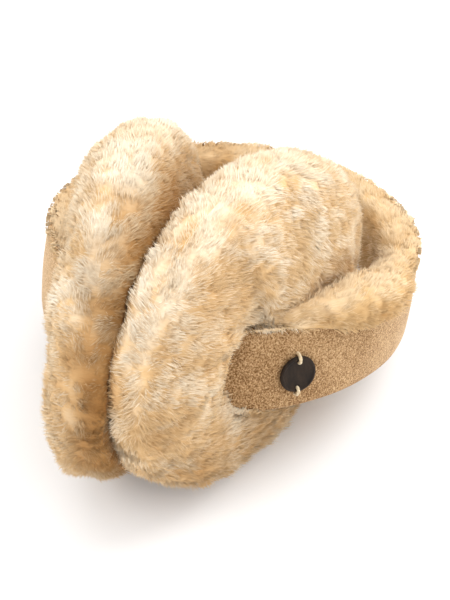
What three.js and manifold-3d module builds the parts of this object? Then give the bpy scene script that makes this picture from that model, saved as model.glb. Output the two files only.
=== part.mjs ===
/**
 * Sheepskin earmuffs: two thick wool ear pads on a suede headband that is lined with long wool.
 *
 * Millimetres, +Z up. The earmuffs lie on the plane Z = 0 as they settle on a table: on the
 * flattened lower rims of both pads and on the lower edge of the headband's top.
 *
 * Every piece is shaped in the headband's own frame, and the group that holds them tilts it:
 *   X  from the pads towards the top of the headband
 *   Y  across the head, the left pad at -Y and the right pad at +Y
 *   Z  along the axis of the loop, so it is the width of the headband
 */
import * as THREE from 'three';
import { mergeVertices } from 'three/addons/utils/BufferGeometryUtils.js';
import Module from 'manifold-3d';

const wasm = await Module();
wasm.setup();

// ---- driving dimensions -------------------------------------------------------------------

const REST_TILT = THREE.MathUtils.degToRad(16); // how far the loop tips down towards its top
const FLOOR = -58.4;                            // height of the table below the pads' axis
const GAP = 0.3;                                // clearance between pieces that touch

const PAD = {
  radiusX: 74,          // half length of an ear pad, along X
  radiusZ: 62,          // half height of an ear pad, along Z
  thickness: 47,
  splay: THREE.MathUtils.degToRad(12.4),        // how far a pad turns away from the other
  roundness: 0.66,      // power of the cosine that shapes the rim: 1 is a plain ellipse
  fullness: 0.9,        // power of the sine that shapes the faces
  around: 60,           // facets round the rim
  across: 24,           // facets from the middle of one face to the middle of the other
};

const DIMPLE = { x: -20, z: -10, depth: 13, radius: 29 }; // where the headband is sewn down
const SEAM = { depth: 2.2, halfWidth: 4 };                // the joint of a pad's two discs

/**
 * Where the wool of a pad parts. turn is the direction round the rim in degrees from +X towards
 * +Z, and level the distance from the seam towards the outer face.
 */
const PARTINGS = {
  left: [
    { turn: 192, level: 12, toTurn: 224, toLevel: 10, halfWidth: 7, depth: 4 },
    { turn: 142, level: 12, toTurn: 168, toLevel: 17, halfWidth: 8, depth: 2.5 },
    { turn: 124, level: 21, toTurn: 150, toLevel: 20, halfWidth: 7, depth: 4 },
  ],
  right: [
    { turn: 124, level: 20, toTurn: 148, toLevel: 7, halfWidth: 6, depth: 3.5 },
    { turn: 148, level: 7, toTurn: 158, toLevel: -5, halfWidth: 6, depth: 3.5 },
  ],
};

/** Where the wool of a pad swells into a fuller lobe. */
const LOBES = {
  left: [{ turn: 40, level: 6, spreadTurn: 30, spreadLevel: 16, height: 2 }],
  right: [{ turn: 218, level: 0, spreadTurn: 34, spreadLevel: 22, height: 5.5 }],
};

const BAND = {
  tip: [-28, -24.5],     // X and Y of the left end of the headband
  tipAngle: THREE.MathUtils.degToRad(62),       // its direction there, from +X towards -Y
  tipReach: 97,          // how strongly the curve keeps that direction
  top: 132.4,            // X of the top of the headband
  topReach: 76.5,        // how broadly it rounds over the top
  width: 33,
  leather: 2,
  crown: 0.7,            // how far the middle of its width stands proud of the edges
  edge: 0.6,             // radius of its cut edges
  endLength: 12,         // length of the rounded end
  endPower: 3,
  heightAtTip: -10,      // Z of its middle line at the ends
  heightAtTop: -6,       // and at the top
  leanAtTip: THREE.MathUtils.degToRad(12),      // its upper edge leans inwards at the ends
};

const LINING = {
  pileAtTip: 3,          // depth of the wool where the ends are sewn flat
  pile: 14,              // and over the rest of the loop
  pileStart: 12,         // distances from the tip over which the wool grows
  pileEnd: 64,
  inset: 3,              // it stops this far short of the leather's tip
  bluntTip: 0.2,         // half width of its very ends, added all along
  roll: 2,               // how far the wool rolls over the upper edge
  swell: { at: 72, spread: 34, height: 8 },     // more of it where the left pad pushes it up
  hem: 1.6,              // how far it stays above the lower edge
};

const LOCK = {
  height: 3.4,           // how far a lock of wool stands out
  padAround: 22,         // locks round a pad, and from face to face
  padAcross: 10,
  bandPitch: 19,         // length of a lock along the headband
  bandRow: 3,            // points of the lining's section that a lock takes up
};

/** The hollow that the pads keep free for the headband, flared outwards so that it lies open. */
const BAND_ROOM = {
  clearance: GAP + 0.1,  // off the leather, at its edges and under it
  shoulder: 1,           // more than that beside the outer face
  reach: 34,             // how far outwards the hollow goes
  flareLeast: 4,         // how much wider it is out there, at the tip
  flareShare: 0.5,       // and how that grows with the half width
  flareMost: 12,
};

const BUTTON = {
  radius: 7.2,
  height: 1.9,
  rim: 1.5,              // width of the raised rim
  rimHeight: 0.4,        // how far it stands over the middle
  round: 0.9,            // how much its outer edges are rounded
  fromTip: 28,           // distance of its centre from the tip, along the leather
  up: -2.5,              // and from the leather's middle line
  holeRadius: 0.75,
  holeOffset: 4.9,
  segments: 64,
};

// ---- small helpers --------------------------------------------------------------------------

const { clamp, lerp, smoothstep } = THREE.MathUtils;

/** A repeatable number from 0 to 1 for a pair of whole numbers. */
function chance(i, j, salt) {
  const value = Math.sin(i * 127.1 + j * 311.7 + salt * 74.7) * 43758.5453;
  return value - Math.floor(value);
}

/** |value| to a power, with the sign of value. */
function signedPower(value, power) {
  return Math.sign(value) * Math.abs(value) ** power;
}

/**
 * Height from 0 to about 1 of overlapping locks, laid like shingles in staggered rows.
 * across and along count locks; columns is how many close the row, or 0 for an open one.
 */
function lockHeight(across, along, columns, salt) {
  const row = Math.floor(along);
  const shifted = across + (row % 2 === 0 ? 0.5 : 0);
  const column = Math.floor(shifted);
  const wrapped = columns > 0 ? ((column % columns) + columns) % columns : column;
  const side = 2 * (shifted - column) - 1;
  const run = along - row;
  const size = 0.55 + 0.45 * chance(wrapped, row, salt);
  return size * (1 - side * side * 0.8) * Math.sin(Math.PI * run ** 1.35);
}

/** How deep the partings of a pad cut in at a place on its wool. */
function partingDepth(partings, turn, level) {
  const toArc = (degrees) => THREE.MathUtils.degToRad(degrees) * (PAD.radiusX + PAD.radiusZ) / 2;
  const place = new THREE.Vector3(toArc(turn), level, 0);
  const nearest = new THREE.Vector3();
  return partings.reduce((depth, row) => {
    const line = new THREE.Line3(
      new THREE.Vector3(toArc(row.turn), row.level, 0),
      new THREE.Vector3(toArc(row.toTurn), row.toLevel, 0),
    );
    const distance = line.closestPointToPoint(place, true, nearest).distanceTo(place);
    return Math.max(depth, row.depth * Math.exp(-((distance / row.halfWidth) ** 2)));
  }, 0);
}

/** How far the lobes of a pad stand out at a place on its wool. */
function lobeHeight(lobes, turn, level) {
  return lobes.reduce((height, row) => {
    const round = (turn - row.turn) / row.spreadTurn;
    const over = (level - row.level) / row.spreadLevel;
    return height + row.height * Math.exp(-(round * round) - over * over);
  }, 0);
}

/** A closed surface through rings of points, each end drawn together to one point. */
function loft(rings) {
  const count = rings[0].length;
  const middle = (ring) => ring.reduce((sum, p) => sum.add(p), new THREE.Vector3()).divideScalar(count);
  const points = [middle(rings[0]), ...rings.flat(), middle(rings[rings.length - 1])];
  const last = points.length - 1;
  const index = [];
  for (let k = 0; k < count; k += 1) {
    const next = (k + 1) % count;
    index.push(0, 1 + next, 1 + k);
    index.push(last, last - count + k, last - count + next);
    for (let r = 0; r < rings.length - 1; r += 1) {
      const a = 1 + r * count + k;
      const b = 1 + r * count + next;
      index.push(a, b, b + count, a, b + count, a + count);
    }
  }
  const geometry = new THREE.BufferGeometry().setFromPoints(points);
  geometry.setIndex(index);
  return volumeOf(geometry) < 0 ? turnedInsideOut(geometry) : geometry;
}

/** Six times the enclosed volume, negative when the faces point inwards. */
function volumeOf(geometry) {
  const position = geometry.getAttribute('position');
  const index = geometry.getIndex();
  const [a, b, c] = [new THREE.Vector3(), new THREE.Vector3(), new THREE.Vector3()];
  let sum = 0;
  for (let i = 0; i < index.count; i += 3) {
    a.fromBufferAttribute(position, index.getX(i));
    b.fromBufferAttribute(position, index.getX(i + 1));
    c.fromBufferAttribute(position, index.getX(i + 2));
    sum += a.dot(b.cross(c));
  }
  return sum;
}

/** The same surface with every triangle's order reversed. */
function turnedInsideOut(geometry) {
  const index = Array.from(geometry.getIndex().array);
  for (let i = 0; i < index.length; i += 3) {
    [index[i + 1], index[i + 2]] = [index[i + 2], index[i + 1]];
  }
  geometry.setIndex(index);
  return geometry;
}

/** A closed geometry as a solid that can be cut and joined. */
function solidOf(geometry) {
  const bare = geometry.clone();
  bare.deleteAttribute('normal');
  bare.deleteAttribute('uv');
  const merged = mergeVertices(bare, 1e-4);
  return new wasm.Manifold(new wasm.Mesh({
    numProp: 3,
    vertProperties: new Float32Array(merged.getAttribute('position').array),
    triVerts: new Uint32Array(merged.getIndex().array),
  }));
}

/** The geometry of a solid. */
function geometryOf(solid) {
  const mesh = solid.getMesh();
  const geometry = new THREE.BufferGeometry();
  geometry.setAttribute('position', new THREE.BufferAttribute(mesh.vertProperties, 3));
  geometry.setIndex(new THREE.BufferAttribute(mesh.triVerts, 1));
  geometry.computeVertexNormals();
  return geometry;
}

/** A block far bigger than the part, whose lower face, at z = 0 until placed, is a cutting plane. */
function halfSpace(matrix) {
  const size = 4 * BAND.top;
  const block = new THREE.BoxGeometry(size, size, size).translate(0, 0, size / 2);
  return solidOf(block.applyMatrix4(matrix));
}

/** All that lies above the table, seen from the tilted loop. */
function aboveTable() {
  return halfSpace(new THREE.Matrix4().makeRotationY(-REST_TILT)
    .multiply(new THREE.Matrix4().makeTranslation(0, 0, FLOOR)));
}

// ---- the headband's path ----------------------------------------------------------------------

/** The outer face's middle line, from the left tip over the top to the right tip. */
function makeBandPath() {
  const [tipX, tipY] = BAND.tip;
  const pullX = tipX + BAND.tipReach * Math.cos(BAND.tipAngle);
  const pullY = tipY - BAND.tipReach * Math.sin(BAND.tipAngle);
  const side = (sign) => [
    new THREE.Vector3(tipX, sign * -tipY, 0),
    new THREE.Vector3(pullX, sign * -pullY, 0),
    new THREE.Vector3(BAND.top, sign * BAND.topReach, 0),
    new THREE.Vector3(BAND.top, 0, 0),
  ];
  const path = new THREE.CurvePath();
  path.add(new THREE.CubicBezierCurve3(...side(-1)));
  path.add(new THREE.CubicBezierCurve3(...side(1).reverse()));
  path.curves.forEach((curve) => { curve.arcLengthDivisions = 400; });
  return path;
}

const bandPath = makeBandPath();
const bandLength = bandPath.getLength();

/** The moving frame of the headband at a distance from the left tip. */
function bandFrame(distance) {
  const share = clamp(distance / bandLength, 0, 1);
  const point = bandPath.getPointAt(share);
  const along = bandPath.getTangentAt(share);
  const fromTop = Math.abs(2 * share - 1);
  point.z = lerp(BAND.heightAtTop, BAND.heightAtTip, fromTop);
  const lean = BAND.leanAtTip * fromTop ** 4;
  const level = new THREE.Vector3(along.y, -along.x, 0).normalize();
  const axis = new THREE.Vector3(0, 0, 1);
  const outward = level.clone().multiplyScalar(Math.cos(lean)).addScaledVector(axis, Math.sin(lean));
  const up = axis.multiplyScalar(Math.cos(lean)).addScaledVector(level, -Math.sin(lean));
  return { point, along, outward, up };
}

/** The point that lies `out` from the outer face and `up` from the middle line. */
function bandPoint(frame, out, up) {
  return frame.point.clone().addScaledVector(frame.outward, out).addScaledVector(frame.up, up);
}

/** Half the headband's width at a distance from the nearer tip: a rounded end, then parallel. */
function halfWidth(fromTip) {
  const missing = clamp(1 - fromTip / BAND.endLength, 0, 1);
  return (BAND.width / 2) * (1 - missing ** BAND.endPower) ** (1 / BAND.endPower);
}

/** Distances along the headband, close together at both rounded ends. */
function bandStations(inset, endSteps, middleSteps) {
  const near = [];
  for (let i = 0; i < endSteps; i += 1) {
    const turn = ((i + 0.5) / endSteps) * (Math.PI / 2);
    near.push(inset + (BAND.endLength - inset) * (1 - Math.cos(turn)));
  }
  const start = BAND.endLength;
  const middle = Array.from({ length: middleSteps + 1 }, (_, i) => (
    lerp(start, bandLength - start, i / middleSteps)));
  return [...near, ...middle, ...near.map((d) => bandLength - d).reverse()];
}

// ---- the headband ---------------------------------------------------------------------------

/** The suede strip: a thin, slightly crowned strap with rounded edges and rounded ends. */
function makeLeatherGeometry() {
  const rings = bandStations(0, 7, 56).map((distance) => {
    const frame = bandFrame(distance);
    const half = halfWidth(Math.min(distance, bandLength - distance));
    const crown = BAND.crown * (half / (BAND.width / 2)) ** 2;
    const shoulder = crown * 0.75; // a parabola's height halfway out
    const edge = Math.min(BAND.edge, half / 3);
    const under = -BAND.leather;
    const outline = [
      [0, -half + edge], [shoulder, -half / 2], [crown, 0], [shoulder, half / 2], [0, half - edge],
      [-edge, half], [under, half - edge], [crown + under, 0], [under, -half + edge], [-edge, -half],
    ];
    return outline.map(([out, up]) => bandPoint(frame, out, up));
  });
  return loft(rings);
}

/** Depth of the lining's wool at a distance from the nearer tip. */
function pileDepth(fromTip) {
  return lerp(LINING.pileAtTip, LINING.pile, smoothstep(fromTip, LINING.pileStart, LINING.pileEnd));
}

/**
 * The outline of the wool's section. depth is a share of the pile, width a share of the half
 * width, roll and relief say how much of the roll and of the locks it takes, and side is 1 where
 * it faces the head and -1 where it faces the leather.
 */
const LINING_SECTION = [
  { depth: 0.00, width: -0.90, roll: 0.00, relief: 0, side: -1 },
  { depth: 0.00, width: 0.00, roll: 0.00, relief: 0, side: -1 },
  { depth: 0.00, width: 0.96, roll: 0.00, relief: 0, side: -1 },
  { depth: 0.06, width: 1.00, roll: 0.55, relief: 0, side: -1 },
  { depth: 0.30, width: 1.00, roll: 1.00, relief: 0.4, side: 1 },
  { depth: 0.66, width: 1.00, roll: 0.70, relief: 0.8, side: 1 },
  { depth: 0.92, width: 0.84, roll: 0.00, relief: 1, side: 1 },
  { depth: 1.00, width: 0.48, roll: 0.00, relief: 1, side: 1 },
  { depth: 1.02, width: 0.12, roll: 0.00, relief: 1, side: 1 },
  { depth: 1.00, width: -0.26, roll: 0.00, relief: 1, side: 1 },
  { depth: 0.92, width: -0.62, roll: 0.00, relief: 0.8, side: 1 },
  { depth: 0.62, width: -0.92, roll: 0.00, relief: 0.3, side: 1 },
];

/**
 * The lining: wool that stands off the leather's inner face in locks and rolls over its top.
 * grow swells it on every side, for cutting its room into the pads.
 */
function makeLiningGeometry(grow) {
  const inner = bandStations(LINING.inset, 5, 60);
  const stations = [LINING.inset - 2 * grow, ...inner, bandLength - LINING.inset + 2 * grow];
  const rings = stations.map((distance) => {
    const frame = bandFrame(distance);
    const fromTip = Math.min(distance, bandLength - distance);
    const half = halfWidth(Math.max(fromTip - LINING.inset, 0)) + LINING.bluntTip;
    const pile = pileDepth(fromTip);
    const fullness = pile / LINING.pile;
    const { at, spread, height } = LINING.swell;
    const rise = LINING.roll * fullness + height * Math.exp(-(((distance - at) / spread) ** 2));
    return LINING_SECTION.map(({ depth, width, roll, relief, side }, k) => {
      const lock = lockHeight(k / LOCK.bandRow, distance / LOCK.bandPitch, 0, 3);
      const stand = lock * LOCK.height * relief * fullness;
      const out = -BAND.leather - GAP - depth * pile - stand;
      const low = Math.min(width < 0 ? LINING.hem : GAP, half / 3);
      const up = width * (half - low) + roll * rise;
      return bandPoint(frame, out - side * grow, up + Math.sign(width) * grow);
    });
  });
  return loft(rings);
}

/** The room that the headband takes out of the pads: its own section, open and flared outwards. */
function makeBandRoom() {
  const { clearance, shoulder, reach, flareLeast, flareShare, flareMost } = BAND_ROOM;
  const rings = bandStations(0, 7, 60).map((distance) => {
    const frame = bandFrame(distance);
    const fromTip = Math.min(distance, bandLength - distance);
    const half = halfWidth(fromTip) + clearance;
    const flare = Math.min(flareMost, flareLeast + half * flareShare);
    const under = BAND.leather + GAP + clearance;
    const outline = [
      [reach, -half - flare], [reach, half + flare], [0, half + shoulder], [-under, half],
      [-under, -half], [0, -half - shoulder],
    ];
    return outline.map(([out, up]) => bandPoint(frame, out, up));
  });
  return solidOf(loft(rings));
}

// ---- the ear pads ---------------------------------------------------------------------------

/**
 * A pad's wool surface in the pad's own frame, as rings from the inner face to the outer one.
 * side is -1 for the left pad and 1 for the right one: its outer face looks that way along Y.
 */
function makePadGeometry(side) {
  const half = PAD.thickness / 2;
  const name = side < 0 ? 'left' : 'right';
  const rings = [];
  for (let r = 0; r < PAD.across; r += 1) {
    const v = ((r + 0.5) / PAD.across - 0.5) * Math.PI;
    const rim = Math.cos(v) ** PAD.roundness;
    const level = half * signedPower(Math.sin(v), PAD.fullness);
    const seam = SEAM.depth * Math.exp(-((level / SEAM.halfWidth) ** 2));
    const ring = [];
    for (let c = 0; c < PAD.around; c += 1) {
      const turn = (c / PAD.around) * 360;
      const u = THREE.MathUtils.degToRad(turn);
      const lock = lockHeight((c / PAD.around) * LOCK.padAround, (r / PAD.across) * LOCK.padAcross,
        LOCK.padAround, side + 5);
      const form = lobeHeight(LOBES[name], turn, level) - partingDepth(PARTINGS[name], turn, level);
      const stand = LOCK.height * (lock * rim - 0.5) - seam + form;
      const x = (PAD.radiusX * rim + stand * rim) * Math.cos(u);
      const z = (PAD.radiusZ * rim + stand * rim) * Math.sin(u);
      const away = ((x - DIMPLE.x) ** 2 + (z - DIMPLE.z) ** 2) / DIMPLE.radius ** 2;
      const dent = level > 0 ? DIMPLE.depth * Math.exp(-away) * smoothstep(level, 0, half * 0.6) : 0;
      const lift = stand * Math.sin(v);
      ring.push(new THREE.Vector3(x, side * (level + lift - dent), z));
    }
    rings.push(ring);
  }
  return loft(rings);
}

/** From a pad's own frame to the headband's. */
function padMatrix(side) {
  return new THREE.Matrix4().makeRotationZ(side * PAD.splay)
    .multiply(new THREE.Matrix4().makeTranslation(0, (side * PAD.thickness) / 2, 0));
}

/** Both discs of one pad, cut to the table, the other pad, the headband and each other. */
function makePadDiscs(side) {
  const place = padMatrix(side);
  const ownSide = halfSpace(new THREE.Matrix4().makeTranslation(0, (side * GAP) / 2, 0)
    .multiply(new THREE.Matrix4().makeRotationX((-side * Math.PI) / 2)));
  const room = makeBandRoom().add(solidOf(makeLiningGeometry(2 * GAP)));
  const whole = solidOf(makePadGeometry(side).applyMatrix4(place))
    .intersect(aboveTable()).intersect(ownSide).subtract(room);
  const disc = (facing) => {
    const turn = new THREE.Matrix4().makeRotationX((-facing * Math.PI) / 2);
    const shift = new THREE.Matrix4().makeTranslation(0, (facing * GAP) / 2, 0);
    return geometryOf(whole.intersect(halfSpace(place.clone().multiply(shift).multiply(turn))));
  };
  return { inner: disc(-side), outer: disc(side) };
}

// ---- the button -----------------------------------------------------------------------------

/** A round button with a raised rim and two sewing holes, standing on the plane y = 0. */
function makeButtonGeometry() {
  const { radius, height, rim, rimHeight, round, segments, holeRadius, holeOffset } = BUTTON;
  const profile = [
    [0, 0], [radius - round, 0], [radius, round], [radius - round / 3, height - round / 3],
    [radius - round, height], [radius - rim, height - rimHeight], [0, height - rimHeight],
  ].map(([x, y]) => new THREE.Vector2(x, y));
  let button = solidOf(new THREE.LatheGeometry(profile, segments));
  for (const place of [-holeOffset, holeOffset]) {
    const drill = new THREE.CylinderGeometry(holeRadius, holeRadius, 4 * height, 12);
    button = button.subtract(solidOf(drill.translate(0, 0, place)));
  }
  return geometryOf(button);
}

/** Sets the button on the leather, its holes in line with the headband's width. */
function placeButton(mesh) {
  const frame = bandFrame(BUTTON.fromTip);
  mesh.position.copy(bandPoint(frame, BAND.crown + GAP, BUTTON.up));
  const side = new THREE.Vector3().crossVectors(frame.outward, frame.up);
  mesh.quaternion.setFromRotationMatrix(new THREE.Matrix4().makeBasis(side, frame.outward, frame.up));
}

// ---- the assembly ---------------------------------------------------------------------------

const suede = new THREE.MeshStandardMaterial({ color: 0xb98f63, roughness: 0.95, metalness: 0 });
const wool = new THREE.MeshStandardMaterial({ color: 0xe2c79c, roughness: 1, metalness: 0 });
const liningWool = new THREE.MeshStandardMaterial({ color: 0xcfa566, roughness: 1, metalness: 0 });
const darkHorn = new THREE.MeshStandardMaterial({ color: 0x2b211b, roughness: 0.55, metalness: 0 });

const loop = new THREE.Group();

/** Adds a named piece to the tilted loop. */
function addPiece(name, geometry, material) {
  const mesh = new THREE.Mesh(geometry, material);
  mesh.name = name;
  loop.add(mesh);
  return mesh;
}

addPiece('headband_suede', geometryOf(solidOf(makeLeatherGeometry()).intersect(aboveTable())), suede);
addPiece('headband_wool', makeLiningGeometry(0), liningWool);

const leftPad = makePadDiscs(-1);
addPiece('left_pad_inner_disc', leftPad.inner, wool);
addPiece('left_pad_outer_disc', leftPad.outer, wool);

const rightPad = makePadDiscs(1);
addPiece('right_pad_inner_disc', rightPad.inner, wool);
addPiece('right_pad_outer_disc', rightPad.outer, wool);

placeButton(addPiece('button', makeButtonGeometry(), darkHorn));

loop.rotation.y = REST_TILT;
loop.updateMatrixWorld(true);

const bounds = new THREE.Box3().setFromObject(loop, true);
const middle = bounds.getCenter(new THREE.Vector3());
loop.position.set(-middle.x, -middle.y, -FLOOR);

const earmuffs = new THREE.Group();
earmuffs.add(loop);

export default earmuffs;
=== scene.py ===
# %% [markdown]
# # Sheepskin earmuffs
# Two thick wool ear pads hang on a suede headband, and the headband is lined with the same long
# wool. The construction is already there as a imported model. This notebook dresses it: the plain
# solids of the soft parts are replaced by fleece that is built strand by strand, the headband gets
# a napped suede face, and the button gets its thread.
#
# The imported model is loaded first. The loop is set down where the model has it.

# %% Load the imported model
import math

import bpy
import numpy as np
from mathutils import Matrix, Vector


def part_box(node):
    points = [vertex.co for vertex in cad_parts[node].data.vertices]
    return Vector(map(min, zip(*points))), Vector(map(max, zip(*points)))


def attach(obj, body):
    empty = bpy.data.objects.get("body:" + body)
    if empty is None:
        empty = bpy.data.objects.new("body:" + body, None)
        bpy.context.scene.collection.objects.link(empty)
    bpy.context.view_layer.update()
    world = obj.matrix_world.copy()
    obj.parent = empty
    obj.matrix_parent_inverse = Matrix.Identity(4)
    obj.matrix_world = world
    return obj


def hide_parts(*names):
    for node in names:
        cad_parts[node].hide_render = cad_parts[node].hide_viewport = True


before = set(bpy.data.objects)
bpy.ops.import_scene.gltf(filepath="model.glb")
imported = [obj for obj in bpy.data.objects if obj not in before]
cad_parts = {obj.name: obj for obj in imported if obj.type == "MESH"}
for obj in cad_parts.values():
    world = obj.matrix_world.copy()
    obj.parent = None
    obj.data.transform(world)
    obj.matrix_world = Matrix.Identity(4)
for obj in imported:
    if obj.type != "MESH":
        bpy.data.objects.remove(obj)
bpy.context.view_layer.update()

MM = 0.001

# %% [markdown]
# ## Small tools
# Every shape below is an array of points that is worked out all at once, with no loop over single
# points. These three functions on arrays are used throughout.

# %% Small tools for arrays
ROWS_AT_ONCE = 4000  # points that are compared together, so that little memory is needed


def unit(vectors):
    """Each vector divided by its length."""
    return vectors / np.maximum(np.linalg.norm(vectors, axis=-1, keepdims=True), 1e-12)


def smooth_step(value, low, high):
    """0 below low, 1 above high, and 3t^2 - 2t^3 between them."""
    t = np.clip((value - low) / (high - low), 0, 1)
    return t * t * (3 - 2 * t)


def nearest_of(points, centres):
    """For each point, the number of the nearest centre and the distance to it."""
    best = np.empty(len(points), int)
    gap = np.empty(len(points))
    for start in range(0, len(points), ROWS_AT_ONCE):
        rows = slice(start, start + ROWS_AT_ONCE)
        squares = ((points[rows, None] - centres[None]) ** 2).sum(-1)
        best[rows] = squares.argmin(1)
        gap[rows] = np.sqrt(squares.min(1))
    return best, gap


print("a smooth step a quarter of the way up:", smooth_step(0.25, 0, 1))

# %% [markdown]
# ## The headband's line
# A strap that is bent over a head follows one smooth curve. Here it is two cubic Bezier curves that
# meet over the top of the head. A curve object could carry a profile along them, but the wool and
# the stitches are placed by the same line, so it is kept as a table of stations. Everything on the
# headband is placed by three numbers: the distance along that line, how far out from the leather's
# face, and how far up across its width. The loop lies tipped on the table, so all shapes are made
# in the loop's own frame and tipped at the end.

# %% The headband's line
TILT = math.radians(16)  # how far the loop is tipped as it lies

BAND_TIP = (-28 * MM, 24.5 * MM)  # how far back and how far to the side the ends are
BAND_TIP_ANGLE = math.radians(62)  # the way in which the line leaves an end
BAND_TIP_REACH = 97 * MM  # how far it is pulled that way
BAND_TOP = 132.4 * MM  # where the line crosses over the top of the head
BAND_TOP_REACH = 76.5 * MM
BAND_HEIGHT_AT_TIP = -10 * MM
BAND_HEIGHT_AT_TOP = -6 * MM
BAND_LEAN = math.radians(12)  # how far the leather's face looks upwards at the ends
BAND_STATIONS = 801
BEZIER_STEPS = 900


def bezier(corners, t):
    """A cubic Bezier curve: each corner weighted by its Bernstein polynomial of t."""
    t = t[:, None]
    a, b, c, d = (np.array(corner, float) for corner in corners)
    return a * (1 - t) ** 3 + 3 * b * t * (1 - t) ** 2 + 3 * c * t**2 * (1 - t) + d * t**3


def band_line(count):
    """The middle line at evenly spaced distances: one half and its mirror image, joined."""
    tip = (BAND_TIP[0], -BAND_TIP[1], 0)
    pull = (tip[0] + BAND_TIP_REACH * math.cos(BAND_TIP_ANGLE),
            tip[1] - BAND_TIP_REACH * math.sin(BAND_TIP_ANGLE), 0)
    half = bezier([tip, pull, (BAND_TOP, -BAND_TOP_REACH, 0), (BAND_TOP, 0, 0)],
                  np.linspace(0, 1, BEZIER_STEPS))
    points = np.concatenate([half, half[-2::-1] * [1, -1, 1]])
    steps = np.linalg.norm(np.diff(points, axis=0), axis=1)
    distance = np.concatenate([[0], np.cumsum(steps)])
    even = np.linspace(0, distance[-1], count)
    return even, np.stack([np.interp(even, distance, points[:, k]) for k in range(3)], 1)


DISTANCE, MIDDLE = band_line(BAND_STATIONS)
BAND_LENGTH = DISTANCE[-1]
FROM_TOP = np.abs(2 * DISTANCE / BAND_LENGTH - 1)
ALONG = unit(np.gradient(MIDDLE, axis=0))
MIDDLE[:, 2] = BAND_HEIGHT_AT_TOP + (BAND_HEIGHT_AT_TIP - BAND_HEIGHT_AT_TOP) * FROM_TOP
LEVEL = np.stack([ALONG[:, 1], -ALONG[:, 0], 0 * FROM_TOP], 1)
LEAN_HERE = (BAND_LEAN * FROM_TOP**4)[:, None]
OUTWARD = LEVEL * np.cos(LEAN_HERE) + np.array([0, 0, 1]) * np.sin(LEAN_HERE)
UPWARD = np.array([0, 0, 1]) * np.cos(LEAN_HERE) - LEVEL * np.sin(LEAN_HERE)
print(f"the headband's line is {BAND_LENGTH:.3f} m long")

# %% [markdown]
# Two functions go back and forth between a point in space and its three numbers on the headband.
# The way back looks for the nearest station of the line, which is quick, and then corrects the
# distance by the step from that station, which makes it exact enough.

# %% Places on the headband
BAND_HALF_WIDTH = 16.5 * MM
BAND_END = 12 * MM  # length of each rounded end
BAND_END_POWER = 3.0  # 2 would be an ellipse, more is squarer
STATIONS_SKIPPED = 2  # the nearest station is looked for among every second one


def on_line(table, distance):
    """A table of vectors along the line, read at any distances by straight interpolation."""
    return np.stack([np.interp(distance, DISTANCE, table[:, k]) for k in range(3)], -1)


def band_point(distance, out, up):
    """The point at a distance along the line, out from the leather's face, and up its width."""
    out, up = np.asarray(out)[..., None], np.asarray(up)[..., None]
    return (on_line(MIDDLE, distance) + out * on_line(OUTWARD, distance)
            + up * on_line(UPWARD, distance))


def half_width(distance):
    """
    Half the strap's width: a superellipse over the rounded ends, and constant between them. Past
    an end it is less than nothing by the distance from that end.
    """
    near = np.minimum(distance, BAND_LENGTH - distance)
    missing = np.clip(1 - near / BAND_END, 0, 1)
    inside = BAND_HALF_WIDTH * (1 - missing**BAND_END_POWER) ** (1 / BAND_END_POWER)
    return inside + np.minimum(near, 0)


def band_place(points):
    """
    Where points lie beside the headband: their distance, out and up, from the nearest station. The
    distance is corrected by the step along the line, and so it goes on past both ends.
    """
    flat = points.reshape(-1, 3)
    nearest = nearest_of(flat[:, :2], MIDDLE[::STATIONS_SKIPPED, :2])[0] * STATIONS_SKIPPED
    away = flat - MIDDLE[nearest]
    distance = DISTANCE[nearest] + (away * ALONG[nearest]).sum(1)
    out = (away * OUTWARD[nearest]).sum(1)
    up = (away * UPWARD[nearest]).sum(1)
    return tuple(values.reshape(points.shape[:-1]) for values in (distance, out, up))


print("half widths, 0, 3 and 30 mm from an end:", half_width(np.array([0, 3, 30]) * MM))

# %% [markdown]
# The loop is set down so that the strap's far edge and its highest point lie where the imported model
# has them. Then any shape can be moved from the loop's frame to the table's, and back.

# %% Set the loop down on the table
BAND_CROWN = 0.7 * MM  # how far the leather's face bulges in the middle


def tipped(points):
    """Points turned about Y by TILT, so that the top of the loop comes down."""
    x, y, z = np.moveaxis(np.asarray(points, float), -1, 0)
    return np.stack([x * math.cos(TILT) + z * math.sin(TILT), y,
                     z * math.cos(TILT) - x * math.sin(TILT)], -1)


def loop_origin():
    """The step that brings the strap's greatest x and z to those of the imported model's strap."""
    strap = tipped(band_point(DISTANCE[:, None], BAND_CROWN * np.array([[0, 1, 0]]),
                              half_width(DISTANCE)[:, None] * np.array([[-1, 0, 1]])))
    x, _, z = np.array(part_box("headband_suede")[1]) - strap.reshape(-1, 3).max(0)
    return np.array([x, 0, z])


LOOP_ORIGIN = loop_origin()


def to_table(points):
    """From the loop's frame to the table's."""
    return tipped(points) + LOOP_ORIGIN


def to_loop(points):
    """From the table's frame back to the loop's."""
    x, y, z = np.moveaxis(points - LOOP_ORIGIN, -1, 0)
    return np.stack([x * math.cos(TILT) - z * math.sin(TILT), y,
                     z * math.cos(TILT) + x * math.sin(TILT)], -1)


print("the loop's origin lies at", LOOP_ORIGIN.round(5))

# %% [markdown]
# ## Camera and light
# A long lens from the front left and well above keeps the pads in proportion. The light is that of
# a small studio: a bright sky all round, a large soft lamp high up behind the earmuffs, one smaller
# lamp on each side that brightens the wool's outline, and a weak one at the front right. A picture
# of a studio on the sky could light it all at once, but lamps can be set one at a time.

# %% Camera
CAMERA_AZIMUTH = math.radians(292.7)
CAMERA_ELEVATION = math.radians(44.7)
CAMERA_DISTANCE = 0.4716
CAMERA_LENS = 75.2
CAMERA_AIM_RIGHT = 0.0138  # aims this far to the right of the loop's origin
CAMERA_AIM_DOWN = 0.0014


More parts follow.
